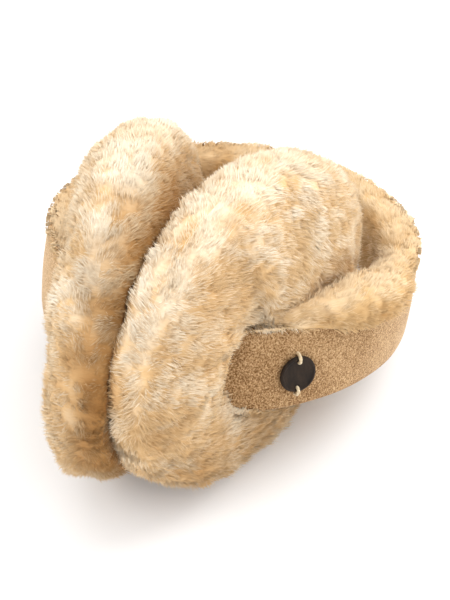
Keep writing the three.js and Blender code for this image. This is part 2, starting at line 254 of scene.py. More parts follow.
def direction(azimuth, elevation):
    """The unit vector at an azimuth, which is 0 towards -Y and grows towards X, and an elevation."""
    return np.array([math.sin(azimuth) * math.cos(elevation),
                     -math.cos(azimuth) * math.cos(elevation), math.sin(elevation)])


def add_object(name, data):
    """A new object in the scene for a camera, lamp or mesh."""
    piece = bpy.data.objects.new(name, data)
    bpy.context.scene.collection.objects.link(piece)
    return piece


def add_facing(name, data, place, aim):
    """A camera or lamp at a place, turned to look at its aim."""
    piece = add_object(name, data)
    piece.location = place
    piece.rotation_euler = Vector(place - aim).to_track_quat("Z", "Y").to_euler()
    return piece


def add_camera():
    """A camera on a sphere about the loop's origin, turned a little to centre the earmuffs."""
    right = np.array([math.cos(CAMERA_AZIMUTH), math.sin(CAMERA_AZIMUTH), 0])
    back = direction(CAMERA_AZIMUTH, CAMERA_ELEVATION)
    up = np.cross(back, right)
    data = bpy.data.cameras.new("camera")
    data.lens = CAMERA_LENS
    return add_facing("camera", data, LOOP_ORIGIN + back * CAMERA_DISTANCE,
                      LOOP_ORIGIN + right * CAMERA_AIM_RIGHT - up * CAMERA_AIM_DOWN)


camera = add_camera()
bpy.context.scene.camera = camera
print("camera at", tuple(round(c, 3) for c in camera.location))

# %% Light
SKY_STRENGTH = 1.03
# azimuth and elevation in degrees, distance and size in metres, and power in watts
LAMPS = {
    "key": (110, 66, 1.5, 1.8, 7),
    "rim_right": (50, 42, 1.5, 0.8, 10),
    "rim_left": (215, 40, 1.5, 0.8, 6),
    "fill": (350, 45, 1.6, 1.2, 4),
}


def add_sky(strength):
    """An even white light from everywhere."""
    world = bpy.data.worlds.new("studio")
    bpy.context.scene.world = world
    world.use_nodes = True
    world.node_tree.nodes["Background"].inputs["Color"].default_value = (1, 1, 1, 1)
    world.node_tree.nodes["Background"].inputs["Strength"].default_value = strength


def add_lamp(name, azimuth, elevation, distance, size, power):
    """A square soft lamp that faces the earmuffs."""
    data = bpy.data.lights.new(name, "AREA")
    data.energy = power
    data.size = size
    toward = direction(math.radians(azimuth), math.radians(elevation))
    return add_facing(name, data, LOOP_ORIGIN + toward * distance, LOOP_ORIGIN)


bpy.context.scene.view_settings.view_transform = "Standard"
add_sky(SKY_STRENGTH)
for lamp, values in LAMPS.items():
    add_lamp(lamp, *values)

# %% [markdown]
# ## A small language for finishes
# Every finish is one Principled shader. Numbers that are the same all over are set on its sockets.
# What changes over the surface is written as a sum: a `Value` wraps a socket, and adding or
# multiplying two of them adds the Math node that does it. The nodes could be placed by hand in the
# shader editor, but a line of sums is quicker to read and to change.

# %% Value


def feed(tree, socket, value):
    """Links a Value to a socket, or sets a plain number, vector or colour on it."""
    if isinstance(value, Value):
        tree.links.new(value.socket, socket)
    elif socket.type == "RGBA":
        socket.default_value = (*value, 1)
    else:
        socket.default_value = value


class Value:
    """A number socket that can be used in sums. Each sum is one Math node."""

    def __init__(self, tree, socket):
        self.tree = tree
        self.socket = socket

    def _sum(self, operation, left, right, clamp=False):
        node = self.tree.nodes.new("ShaderNodeMath")
        node.operation = operation
        node.use_clamp = clamp
        feed(self.tree, node.inputs[0], left)
        feed(self.tree, node.inputs[1], right)
        return Value(self.tree, node.outputs[0])

    def __add__(self, other):
        return self._sum("ADD", self, other)

    def __radd__(self, other):
        return self._sum("ADD", other, self)

    def __sub__(self, other):
        return self._sum("SUBTRACT", self, other)

    def __rsub__(self, other):
        return self._sum("SUBTRACT", other, self)

    def __mul__(self, other):
        return self._sum("MULTIPLY", self, other)

    def __rmul__(self, other):
        return self._sum("MULTIPLY", other, self)

    def clamped(self):
        """The value kept between 0 and 1."""
        return self._sum("ADD", self, 0.0, clamp=True)

    def rising(self, start, over):
        """0 up to start, and from there evenly up to 1 over that much more."""
        return ((self - start) * (1 / over)).clamped()


print("a Value can be added, subtracted and multiplied, also with a number on its left")

# %% Finish


class Finish:
    """One material round a Principled shader. Underscores stand for spaces in socket names."""

    def __init__(self, name, **sockets):
        self.material = bpy.data.materials.new(name)
        self.material.use_nodes = True
        self.tree = self.material.node_tree
        self.shader = self.tree.nodes["Principled BSDF"]
        self.set(**sockets)

    def set(self, **sockets):
        """Feeds sockets of the shader itself."""
        for key, value in sockets.items():
            feed(self.tree, self.shader.inputs[key.replace("_", " ")], value)

    def node(self, kind, output=0, settings=None, **inputs):
        """
        Any node: its settings first, then its sockets by name, or by number as in _6. Returns one
        output.
        """
        node = self.tree.nodes.new("ShaderNode" + kind)
        for key, value in (settings or {}).items():
            if key == "stops":
                self._stops(node.color_ramp, value)
            else:
                setattr(node, key, value)
        for key, value in inputs.items():
            socket = int(key[1:]) if key[1:].isdigit() else key.replace("_", " ")
            feed(self.tree, node.inputs[socket], value)
        return Value(self.tree, node.outputs[output])

    def _stops(self, ramp, stops):
        while len(ramp.elements) < len(stops):
            ramp.elements.new(0.5)
        for element, (place, colour) in zip(ramp.elements, stops):
            element.position = place
            element.color = (*colour, 1)

    def attribute(self, name, output="Fac"):
        """A number that the mesh carries at each point, or with the output Vector a place."""
        return self.node("Attribute", output, {"attribute_name": name})

    def noise(self, scale, detail=2.0, roughness=0.5, stretch=(1, 1, 1)):
        """Smooth noise from 0 to 1 on Object coordinates, with that many features to a metre."""
        where = self.node("Mapping", 0, Vector=self.node("TexCoord", "Object"), Scale=stretch)
        return self.node("TexNoise", 0, Vector=where, Scale=scale, Detail=detail,
                         Roughness=roughness)

    def ramp(self, factor, stops):
        """A colour that runs through stops, each a place and a colour."""
        return self.node("ValToRGB", 0, {"stops": stops}, Fac=factor)

    def blend(self, factor, first, second, how="MIX"):
        """Two colours mixed: the factor says how much of the second."""
        return self.node("Mix", 2, {"data_type": "RGBA", "blend_type": how},
                         _0=factor, _6=first, _7=second)

    def bump(self, height, distance, strength):
        """Fine relief on the shader's normal, as deep as distance in metres."""
        self.set(Normal=self.node("Bump", 0, Height=height, Distance=distance, Strength=strength))


def linear(red, green, blue):
    """A colour given as it looks on a screen, 0 to 255, as the shader's linear values."""
    share = np.array([red, green, blue]) / 255
    return tuple(np.where(share <= 0.04045, share / 12.92, ((share + 0.055) / 1.055) ** 2.4))


print("middle grey on a screen is", round(linear(128, 128, 128)[0], 3), "for the shader")

# %% [markdown]
# ## The floor
# A plain pale sheet takes the soft shadows. It is stage, not part of the earmuffs.

# %% Floor
FLOOR_HALF = 3.0
FLOOR_WHITE = 0.92


def add_floor():
    """One wide square at the height of the table."""
    corners = [(x * FLOOR_HALF, y * FLOOR_HALF, 0) for x, y in ((-1, -1), (1, -1), (1, 1), (-1, 1))]
    mesh = bpy.data.meshes.new("floor")
    mesh.from_pydata(corners, [], [(0, 1, 2, 3)])
    finish = Finish("floor_white", Base_Color=(FLOOR_WHITE,) * 3, Roughness=0.8)
    mesh.materials.append(finish.material)
    add_object("floor", mesh)


add_floor()
print("the floor is", 2 * FLOOR_HALF, "m square")

# %% [markdown]
# ## Skins
# A skin is a surface worked out on a grid: rows of points that each close into a ring. It is used
# twice, as the dense undercoat of the fleece and as the ground from which the strands grow. A ball
# could be sculpted into the same form, but a grid also knows the direction outwards and the way
# along the surface at every point, and the strands need both.

# %% Skins
STREAK = 0.18  # the way along a strand counts this much, so that a pattern is drawn out along it


def grid_cells(rows, around):
    """The four corner indices of each cell of a grid whose rows close into rings."""
    index = np.arange(rows * around).reshape(rows, around)
    right = np.roll(index, -1, 1)
    return np.stack([index[:-1], right[:-1], right[1:], index[1:]], -1).reshape(-1, 4)


class Skin:
    """
    A grid of points whose rows close into rings. With each point goes the direction outwards, the
    direction from row to row, and lie, a place for patterns that are drawn out from row to row:
    the ring is a circle of its true length, and the way from row to row is shortened.
    """

    def __init__(self, points):
        self.points = points
        self.cells = grid_cells(*points.shape[:2])
        along = np.gradient(points, axis=0)
        across = np.roll(points, -1, 1) - np.roll(points, 1, 1)
        normals = np.cross(across, along)
        away = points - points.reshape(-1, 3).mean(0)
        self.normals = unit(normals) * np.sign((normals * away).sum())
        self.along = unit(along)
        turn = np.linspace(0, 2 * np.pi, points.shape[1], endpoint=False)
        ring_length = np.linalg.norm(across, axis=2).sum(1).max() / 2  # across spans two cells
        radius = ring_length / (2 * np.pi)
        way = np.linalg.norm(along, axis=2).mean(1).cumsum()[:, None]
        self.lie = np.stack(np.broadcast_arrays(radius * np.cos(turn), radius * np.sin(turn),
                                                STREAK * way), -1)

    def raised(self, height):
        """The skin with each point moved outwards by its own height."""
        return Skin(self.points + self.normals * height[..., None])

    def areas(self):
        """Each cell's area: half the cross product of its diagonals."""
        a, b, c, d = self.points.reshape(-1, 3)[self.cells.T]
        return np.linalg.norm(np.cross(c - a, d - b), axis=1) / 2

    def scatter(self, count, chance):
        """Points spread evenly by area: places, directions outwards and from row to row, and lies."""
        total = np.cumsum(self.areas())
        cell = np.searchsorted(total / total[-1], chance.random(count))
        u, v = chance.random((2, count, 1))
        shares = ((1 - u) * (1 - v), u * (1 - v), u * v, (1 - u) * v)
        corners = self.cells[cell].T
        place, normal, along, lie = (
            sum(s * table.reshape(-1, 3)[k] for s, k in zip(shares, corners))
            for table in (self.points, self.normals, self.along, self.lie))
        return place, unit(normal), unit(along), lie


print("a skin's pattern is drawn out", round(1 / STREAK, 1), "times")

# %% [markdown]
# A grid becomes a closed mesh when its first and last rows are closed by a fan of triangles to one
# middle point each. A closed shell has a volume, and its sign tells whether the faces look outwards.

# %% Closed meshes from grids


def capped(table):
    """A grid's values as one list, and then the means of its first and of its last row."""
    return np.concatenate([table.reshape(-1, table.shape[-1]), table[0].mean(0)[None],
                           table[-1].mean(0)[None]])


def closed_shell(grid):
    """
    Points, quads and triangles of a grid closed at both ends. The faces are turned round if the
    volume that they enclose comes out negative.
    """
    points = capped(grid)
    rows, around = grid.shape[:2]
    quads = grid_cells(rows, around)
    ring = np.arange(around)
    right, middle = np.roll(ring, -1), np.full(around, rows * around)
    last = (rows - 1) * around
    triangles = np.concatenate([np.stack([middle, right, ring], -1),
                                np.stack([middle + 1, ring + last, right + last], -1)])
    corners = points[np.concatenate([triangles, quads[:, :3], quads[:, [0, 2, 3]]])]
    volume = (corners[:, 0] * np.cross(corners[:, 1], corners[:, 2])).sum()
    if volume < 0:
        quads, triangles = quads[:, ::-1], triangles[:, ::-1]
    return points, quads, triangles


def add_mesh(name, points, quads, triangles, attributes=None, normals=None):
    """A smooth mesh from whole arrays. Each attribute and the normals have one entry per point."""
    mesh = bpy.data.meshes.new(name)
    mesh.vertices.add(len(points))
    mesh.vertices.foreach_set("co", np.asarray(points, np.float32).ravel())
    corners = np.concatenate([quads.ravel(), triangles.ravel()]).astype(np.int32)
    sizes = np.concatenate([np.full(len(quads), 4), np.full(len(triangles), 3)])
    mesh.loops.add(len(corners))
    mesh.loops.foreach_set("vertex_index", corners)
    mesh.polygons.add(len(sizes))
    mesh.polygons.foreach_set("loop_start", (np.cumsum(sizes) - sizes).astype(np.int32))
    mesh.polygons.foreach_set("use_smooth", np.ones(len(sizes), bool))
    for key, values in (attributes or {}).items():
        kind, field = ("FLOAT", "value") if values.ndim == 1 else ("FLOAT_VECTOR", "vector")
        mesh.attributes.new(key, kind, "POINT").data.foreach_set(
            field, np.asarray(values, np.float32).ravel())
    mesh.update(calc_edges=True)
    if normals is not None:
        mesh.attributes.new("custom_normal", "FLOAT_VECTOR", "CORNER").data.foreach_set(
            "vector", np.asarray(normals[corners], np.float32).ravel())
    print(f"{name}: {len(points)} points, {2 * len(quads) + len(triangles)} triangles")
    return add_object(name, mesh)


# %% [markdown]
# ## The pads' form
# Each pad is two wool discs sewn together at the rim. Seen from the side it is a thick lens with
# a full rim. The wool of a disc parts in a few places and swells in others, and the outer disc has
# a dimple where the headband is sewn down. Under the strap and its lining the wool is pressed in. A
# cloth simulation could puff the discs up, but thick fleece keeps a form of its own, and a formula
# lets each part of that form be set by itself.

# %% Partings and lobes
PAD_RADIUS = (74 * MM, 62 * MM)
PAD_HALF = 23.5 * MM  # half a pad's thickness

# Each parting runs from one place to another: the turn and level of both, in degrees round the rim
# and millimetres out from the seam, and then its half width and its depth in millimetres.
PARTINGS = {
    "left": [(192, 12, 224, 10, 7, 4), (142, 12, 168, 17, 8, 2.5), (124, 21, 150, 20, 7, 4)],
    "right": [(124, 20, 148, 7, 6, 3.5), (148, 7, 158, -5, 6, 3.5)],
}
# Each lobe is a place where the wool is fuller: its turn and level, how far it spreads in both
# directions, and its height, in the same units.
LOBES = {
    "left": [(40, 6, 30, 16, 2)],
    "right": [(218, 0, 34, 22, 5.5), (52, -10, 26, 12, 1.5)],
}


def parting_depth(rows, turn, level):
    """How deep partings cut in: a bell curve of the distance to each parting's line."""
    arc = np.pi / 180 * sum(PAD_RADIUS) / 2
    depth = np.zeros_like(turn)
    for turn_a, level_a, turn_b, level_b, half, deep in rows:
        start = np.array([turn_a * arc, level_a * MM])
        line = np.array([turn_b * arc, level_b * MM]) - start
        here = np.stack([turn * arc, level], -1) - start
        share = np.clip((here @ line) / (line @ line), 0, 1)
        away = np.linalg.norm(here - share[..., None] * line, axis=-1)
        depth = np.maximum(depth, deep * MM * np.exp(-((away / (half * MM)) ** 2)))
    return depth


def lobe_height(rows, turn, level):
    """How far lobes stand out: a bell curve in both directions for each."""
    return sum(high * MM * np.exp(-(((turn - at) / wide) ** 2)
                                  - ((level / MM - up) / tall) ** 2)
               for at, up, wide, tall, high in rows)


print("partings:", {side: len(rows) for side, rows in PARTINGS.items()},
      "lobes:", {side: len(rows) for side, rows in LOBES.items()})

# %% Wool pressed in by the headband
LEATHER = 2 * MM
PILE_THIN = 3 * MM  # depth of the lining's wool at the ends, where it is sewn down
PILE_FULL = 14 * MM
PILE_GROWS = (12 * MM, 64 * MM)  # it deepens between these distances from an end
PRESSED_FADE = 3 * MM  # the wool comes up again over this width beside the strap
PRESSED_WITHIN = (-26 * MM, 36 * MM)  # only wool this near to the leather is pressed, in and out


def pile_depth(distance):
    """Depth of the lining's wool: thin where the ends are sewn down, then full."""
    near = np.minimum(distance, BAND_LENGTH - distance)
    return PILE_THIN + (PILE_FULL - PILE_THIN) * smooth_step(near, *PILE_GROWS)


def pressed_by_band(points, clearance):
    """Points that would lie in the headband or its lining, moved in under them."""
    distance, out, up = band_place(points)
    inside = smooth_step(half_width(distance) + PRESSED_FADE - np.abs(up), 0, PRESSED_FADE)
    near = (out > PRESSED_WITHIN[0]) & (out < PRESSED_WITHIN[1])
    under = -(LEATHER + pile_depth(distance) + clearance)
    push = np.maximum(out - under, 0) * inside * near
    return points - push[..., None] * on_line(OUTWARD, distance)


print("the lining's wool is", pile_depth(0.0), "to", pile_depth(BAND_LENGTH / 2), "m deep")

# %% The pads' skins
PAD_SPLAY = math.radians(12.4)  # how far each pad is turned out, away from the other
PAD_ROUNDNESS = 0.66  # 1 would make a pad's section an ellipse, less makes it fuller at the rim
PAD_FULLNESS = 0.9
DIMPLE = {"x": -20 * MM, "z": -10 * MM, "depth": 13 * MM, "radius": 29 * MM, "starts": 0.6 * PAD_HALF}
SEAM = {"depth": 0.5 * MM, "half_width": 4 * MM}
GAP = 0.3 * MM  # between pieces that touch
INSET_AT_PAD = 0.3  # share of the inset that is kept where a pad lies against the other one
INSET_AT_TABLE = 0.5


def pad_points(side, turn, slope, inset):
    """
    A pad's surface. slope runs from -90 degrees, the middle of the face by the ear, over 0 at the
    rim to 90. The rim's radius follows a power of its cosine, and the level a power of its sine.
    """
    name = "left" if side < 0 else "right"
    u, v = np.radians(turn), np.radians(slope)
    rim = np.cos(v) ** PAD_ROUNDNESS
    level = PAD_HALF * np.sign(np.sin(v)) * np.abs(np.sin(v)) ** PAD_FULLNESS
    form = (lobe_height(LOBES[name], turn, level) - parting_depth(PARTINGS[name], turn, level)
            - SEAM["depth"] * np.exp(-((level / SEAM["half_width"]) ** 2)))
    stand = form - inset
    x = (PAD_RADIUS[0] + stand) * rim * np.cos(u)
    z = (PAD_RADIUS[1] + stand) * rim * np.sin(u)
    away = ((x - DIMPLE["x"]) ** 2 + (z - DIMPLE["z"]) ** 2) / DIMPLE["radius"] ** 2
    dent = DIMPLE["depth"] * np.exp(-away) * smooth_step(level, 0, DIMPLE["starts"])
    y = side * (level + stand * np.sin(v) - dent + PAD_HALF)
    turned = side * PAD_SPLAY
    placed = np.stack([x * math.cos(turned) - y * math.sin(turned),
                       x * math.sin(turned) + y * math.cos(turned), z], -1)
    placed[..., 1] = side * np.maximum(side * placed[..., 1], GAP + inset * INSET_AT_PAD)
    return placed


def pad_skin(side, slopes, around, inset):
    """The grid of one disc, pressed by the headband and flattened by the table."""
    turn, slope = np.meshgrid(np.arange(around) * 360 / around, slopes)
    points = to_table(pressed_by_band(pad_points(side, turn, slope, inset), inset))
    points[..., 2] = np.maximum(points[..., 2], inset * INSET_AT_TABLE)
    return Skin(points)


print("pads are", 2 * PAD_RADIUS[0], "by", 2 * PAD_RADIUS[1], "m")

# %% [markdown]
# ## Fleece
# Shorn sheepskin is dense and soft. Its strands lie combed in one direction that turns slowly from
# place to place, and they gather in low tufts, with a crease between one tuft and the next that is
# a little darker by painted shade. Blender's hair could grow them, but hair isn't mesh, and this
# model is handed on as meshes. A bumpy skin alone would look like felt. So each strand is a mesh of
# its own, a slender four-sided sliver: a root, two points in the middle that give it its width and
# its arch, and a tip. Its broad side faces outwards, as a flat lying strand shows it. Below the
# strands lies an undercoat, the closed skin with a dome on every tuft.
#
# Tufts come first. Their centres start at random places of the skin, and each moves a few times to
# the middle of the places nearest to it, which spreads them evenly.

# %% Tufts
TUFT_PLACES = 6000  # random places on the skin that the centres are settled among
TUFT_LEAN = 0.2  # how much the way that wool lies differs from tuft to tuft
FULLNESS_SPREAD = 0.28
TUFT_REACH = 0.6  # a tuft's edge lies this share of its size from its centre
SWELL_SIZE = 3.2  # slow waves over the fleece, as long as this many tufts
SWELL_HEIGHT = 0.9


def settled(places, count, chance, rounds=4):
    """Evenly spread centres: each moves to the mean of the places nearest to it, a few times."""
    centres = places[chance.choice(len(places), count, replace=False)].copy()
    for _ in range(rounds):
        owner, _ = nearest_of(places, centres)
        held = np.maximum(np.bincount(owner, minlength=count), 1)[:, None]
        sums = np.stack([np.bincount(owner, places[:, k], count) for k in range(3)], 1)
        centres = np.where(held > 1, sums / held, centres)
    return centres


def swirl(chance, size, waves=7):
    """A smooth random field of directions, as a function: a sum of sine waves about size long."""
    heading = unit(chance.normal(0, 1, (waves, 3)))
    pace = heading * 2 * np.pi / size * chance.uniform(0.6, 1.3, (waves, 1))
    phase = chance.uniform(0, 2 * np.pi, waves)
    swing = chance.normal(0, math.sqrt(2 / waves), (waves, 3))
    return lambda places: np.sin(places @ pace.T + phase) @ swing


class Tufts:
    """Evenly spread tufts on a skin: their centres, how each leans, and how full and light it is."""

    def __init__(self, skin, size, chance):
        self.size = size
        self.swell = swirl(chance, SWELL_SIZE * size, 12)
        places = skin.scatter(TUFT_PLACES, chance)[0]
        count = max(12, int(skin.areas().sum() / size**2))
        self.centres = settled(places, count, chance)
        self.lean = chance.normal(0, TUFT_LEAN, (count, 3))
        self.fullness = 1 + FULLNESS_SPREAD * chance.standard_normal(count).clip(-2, 1.2)
        self.tone = chance.standard_normal(count).clip(-2, 2)

    def of(self, places):
        """Each place's tuft, and its share of the way from the centre to the edge."""
        owner, gap = nearest_of(places, self.centres)
        return owner, np.clip(gap / (TUFT_REACH * self.size), 0, 1.3)

    def domed(self, skin, relief, fade=1):
        """
        The skin with a dome on every tuft, 1 minus the share squared, times its fullness, on slow
        waves, all times relief and fade.
        """
        places = skin.points.reshape(-1, 3)
        owner, share = self.of(places)
        swell = SWELL_HEIGHT * self.swell(places)[:, 0]
        height = (1 - share**2) * self.fullness[owner] + swell
        return skin.raised(relief * (height.reshape(skin.points.shape[:2]) * fade))


print("tufts settle among", TUFT_PLACES, "places")

# %% [markdown]
# Strands grow in wisps of seven. A wisp has one root place, one direction and one tip, and its
# strands differ a little from it, so that the fleece has fine locks between its tufts and its single
# strands.

# %% Strands
STRANDS_IN_WISP = 7
WOOL_LENGTH = 3.8 * MM
WISP_SPREAD = 1.0 * MM
WISP_PINCH = 0.25  # how much nearer together a wisp's tips are than its roots
TUFT_PINCH = 0.2  # share of the way that a wisp's tip is drawn to its tuft's middle
LEAN = 1.25  # how far strands lie over, for each unit that they stand up
STRAND_HALF_WIDTH = (0.08 * MM, 0.18 * MM)
ROOT_DEPTH = 0.4 * MM  # strands start this far below the undercoat's surface
LEAST_ROOM = 0.15  # no wisp grows where it would have less of its length than this
FUZZ = 0.12  # share of strands that are longer and finer
FUZZ_FINENESS = 0.6
FUZZ_GROWTH = (0.05, 0.3)  # how much longer than its wisp a strand of the fuzz is
OTHER_GROWTH = (-0.3, 0.05)
TUFT_ROUNDNESS = 0.35  # how much a tuft's shading turns round it
EDGE_SHORTER = 0.12  # how much shorter the wool is at a tuft's edge
LEAN_SPREAD, LENGTH_SPREAD = 0.08, 0.08  # how much wisps differ from their neighbours
TIP_SPREAD, TWIST_SPREAD, SOFT_SPREAD = 0.07, 0.45, 0.1  # and strands from their wisp
FULLER_LONGER = 0.4  # wool's length follows this power of its tuft's fullness
ARCH = (0.6, 1.4)  # height of a strand's arch, in half widths
BROADEST = (0.4, 0.6)  # where along its length a strand is broadest
TUFT_TONE, WISP_TONE, STRAND_TONE = 0.5, 0.3, 0.35  # what each adds to a strand's lightness


def grow_fleece(skin, tufts, strands, chance, comb, room):
    """
    The strands on a skin, as roots, middles, tips and half widths, with a soft normal and tones.
    A wisp runs from its root along the outward direction plus the comb's, and its tip is drawn
    towards its tuft's middle. A strand's tip is its wisp's tip plus its own small offset, and its
    middle is arched outwards. room says how much of its length each wisp may have.
    """
    root, normal, along, lie = skin.scatter(strands // STRANDS_IN_WISP, chance)
    free = room(root, normal)
    root, normal, along, lie, free = (table[free > LEAST_ROOM] for table in
                                      (root, normal, along, lie, free))
    tuft, share = tufts.of(root)
    lay = comb(root, along) + tufts.lean[tuft]
    lay -= (lay * normal).sum(1, keepdims=True) * normal
    lay = unit(lay)
    heading = unit(normal + LEAN * lay + chance.normal(0, LEAN_SPREAD, root.shape))
    reach = WOOL_LENGTH * free * (1 - EDGE_SHORTER * share**2) * tufts.fullness[tuft] ** FULLER_LONGER
    reach *= 1 + LENGTH_SPREAD * chance.standard_normal(len(root))
    drawn = (TUFT_PINCH * np.minimum(share, 1))[:, None] * (tufts.centres[tuft] - root)
    tip = root + heading * reach[:, None] + drawn

    own = np.repeat(np.arange(len(root)), STRANDS_IN_WISP)
    count = len(own)
    outward, stretch = normal[own], reach[own][:, None]
    offset = chance.normal(0, WISP_SPREAD, (count, 3))
    offset -= (offset * outward).sum(1, keepdims=True) * outward
    fuzz = chance.random((count, 1)) < FUZZ
    grown = np.where(fuzz, chance.uniform(*FUZZ_GROWTH, (count, 1)),
                     chance.uniform(*OTHER_GROWTH, (count, 1)))
    strand_root = root[own] + offset - ROOT_DEPTH * outward
    strand_tip = tip[own] + (1 - WISP_PINCH) * offset + stretch * (
        chance.normal(0, TIP_SPREAD, (count, 3)) + heading[own] * grown)
    run = strand_tip - strand_root
    side = unit(np.cross(run, outward + chance.normal(0, TWIST_SPREAD, (count, 3))))
    width = chance.uniform(*STRAND_HALF_WIDTH, (count, 1)) * np.where(fuzz, FUZZ_FINENESS, 1)
    arch = unit(np.cross(side, run)) * chance.uniform(*ARCH, (count, 1)) * width

    soft = unit(normal + TUFT_ROUNDNESS * (root - tufts.centres[tuft]) / tufts.size)
    tone = (TUFT_TONE * tufts.tone[tuft] + WISP_TONE * chance.standard_normal(len(root)))[own]
    return {
        "root": strand_root, "tip": strand_tip, "side": side * width,
        "middle": strand_root + run * chance.uniform(*BROADEST, (count, 1)) + arch,
        "soft": unit(soft[own] + chance.normal(0, SOFT_SPREAD, (count, 3))),
        "tone": tone + chance.normal(0, STRAND_TONE, count), "crease": share[own], "lie": lie[own],
    }


print("strands are", [2 * half for half in STRAND_HALF_WIDTH], "m wide and about", WOOL_LENGTH,
      "m long")

# %% [markdown]
# Thousands of thin slivers, each shaded by its own faces alone, would glitter like straw. So the
# normals are given: a quarter comes from the sliver, and the rest from the fleece's own form.
# normals are set by hand: a quarter comes from the sliver, and the rest from the fleece's own form.

# %% One piece of fleece
SLIVER_FACES = ((0, 2, 1), (0, 1, 3), (1, 2, 3), (0, 3, 2))
# The root ends and the undercoat are deeper golden partly as the wool's own colour and partly as
# painted shade deep in the fleece.
SLIVER_HEIGHTS = (0.5, 0.62, 0.62, 0.82)  # a sliver's points on the way from depth, 0, to light, 1
UNDERCOAT_HEIGHT = 0.58
# Painted shade: the undercoat's colour is made darker between tufts, where the strands shade it.
CREASE_SHADE = 0.1  # the undercoat is this much lower between tufts
SOFTNESS = 0.75  # how much of a strand's shading follows the fleece and not its own faces
# Painted light: wool whose normal faces up is made paler, as light from above would make it.
TOP_LIGHT_RISE = (0.1, 1.0)  # wool whose normal rises this much is paler, from nothing to fully


def slivers(strands, first):
    """
    The strands' points, their triangles counted from first, and the normals. A point's normal is
    the mean of its three faces' normals, mixed with the soft normal of the fleece.
    """
    root, tip = strands["root"], strands["tip"]
    one, two = strands["middle"] + strands["side"], strands["middle"] - strands["side"]
    volume = ((one - root) * np.cross(two - root, tip - root)).sum(1)
    turned = (volume < 0)[:, None]
    one, two = np.where(turned, two, one), np.where(turned, one, two)
    points = np.stack([root, one, two, tip], 1).reshape(-1, 3)
    start = 4 * np.arange(len(root))[:, None]
    faces = np.concatenate([start + np.array([corner]) for corner in SLIVER_FACES])
    a, b, c = (points[faces[:, k]] for k in range(3))
    flat = unit(np.cross(b - a, c - a)).reshape(4, -1, 3)
    mean = unit(np.stack([flat[[face for face in range(4) if point in SLIVER_FACES[face]]].sum(0)
                          for point in range(4)], 1))
    normals = unit((1 - SOFTNESS) * mean + SOFTNESS * strands["soft"][:, None])
    return points, faces + first, normals.reshape(-1, 3)


def fleece_piece(name, skin, tufts, strands, painted_shade_of):
    """One piece: the undercoat's closed skin and all the strands on it, in one mesh."""
    base, quads, ends = closed_shell(skin.points)
    base_normals = unit(capped(skin.normals))
    points, faces, strand_normals = slivers(strands, len(base))
    tuft, share = tufts.of(base)

    def both(of_base, of_strands):
        """The undercoat's values, then each strand's value once for each of its four points."""
        return np.concatenate([of_base, np.repeat(of_strands, 4, 0)])

    attributes = {
        # the undercoat's height drops between tufts: painted shade in the creases
        "height": np.concatenate([UNDERCOAT_HEIGHT - CREASE_SHADE * share**2,
                                  np.tile(SLIVER_HEIGHTS, len(points) // 4)]),
        "tone": both(TUFT_TONE * tufts.tone[tuft], strands["tone"]),
        "crease": both(share, strands["crease"]),
        "lie": both(capped(skin.lie), strands["lie"]),
        # painted light: wool that faces up is paler
        "bleach": smooth_step(both(base_normals[:, 2], strands["soft"][:, 2]), *TOP_LIGHT_RISE),
        # deep carries painted shade: the groove between the pads, the low wool and the lining's right
        # arm
        "deep": painted_shade_of(both(base, strands["root"])),
    }
    return add_mesh(name, np.concatenate([base, points]), quads, np.concatenate([ends, faces]),
                    attributes, np.concatenate([base_normals, strand_normals]))


print("a strand has", len(SLIVER_FACES), "faces")

# %% [markdown]
# Wool bends round what it meets. Strands near the strap are bent over or under the leather, and
# strands that would go through the table are pressed flat on it.

# %% Strands beside the leather and on the table
STRAP_MARGIN = 0.2 * MM  # a strand this near to the strap's edge still has to keep clear of it
LEATHER_CLEARANCE = 0.4 * MM
LIFTED_FROM = -7 * MM  # strands deeper than this under the leather aren't lifted over it
LOWERED_FROM = 4 * MM  # and strands higher than this aren't lowered under it
TABLE_CLEARANCE = 0.3 * MM


def off_the_leather(strands, over):
    """
    Strands bent so that they never go through the strap. over says for each strand whether it
    lies over the strap's outer face, where it is then shaded as the strap is. The others stay
    under it.
    """
    for key in ("middle", "tip"):
        here = to_loop(strands[key])
        distance, out, up = band_place(here)
        beside = np.abs(up) < half_width(distance) + STRAP_MARGIN
        lifted = np.where(out > LIFTED_FROM, np.maximum(out, BAND_CROWN + LEATHER_CLEARANCE), out)
        lowered = np.where(out < LOWERED_FROM, np.minimum(out, -LEATHER - LEATHER_CLEARANCE), out)
        wanted = np.where(beside, np.where(over, lifted, lowered), out)
        strands[key] = to_table(here + (wanted - out)[:, None] * on_line(OUTWARD, distance))
    lying = (beside & over)[:, None]
    strands["soft"] = unit(strands["soft"] + 2 * lying * tipped(on_line(OUTWARD, distance)))
    return strands


def above_table(strands):
    """Strands pressed flat where they would go through the table."""
    for key in ("root", "middle", "tip"):
        strands[key][:, 2] = np.maximum(strands[key][:, 2], TABLE_CLEARANCE)
    return strands


print("strands keep", LEATHER_CLEARANCE, "m off the leather")

# %% [markdown]
# ### The wool's colour
# A strand is golden in the depth and cream at its tip, partly as the wool's own colour and partly
# as painted shade deep in the fleece. Wool that faces up is paler still, by painted light from
# above, and some patches of a fleece are more golden than others. A painted image could hold these
# colours, but two hundred thousand strands are too many to unwrap. So the mesh itself carries what
# the finish has to know at each point: the height on the way from depth to light, the tuft's own
# tone, the painted shade of its crease, the painted light on wool that faces up, and the painted
# shade of the groove, the low wool and the lining's right arm.

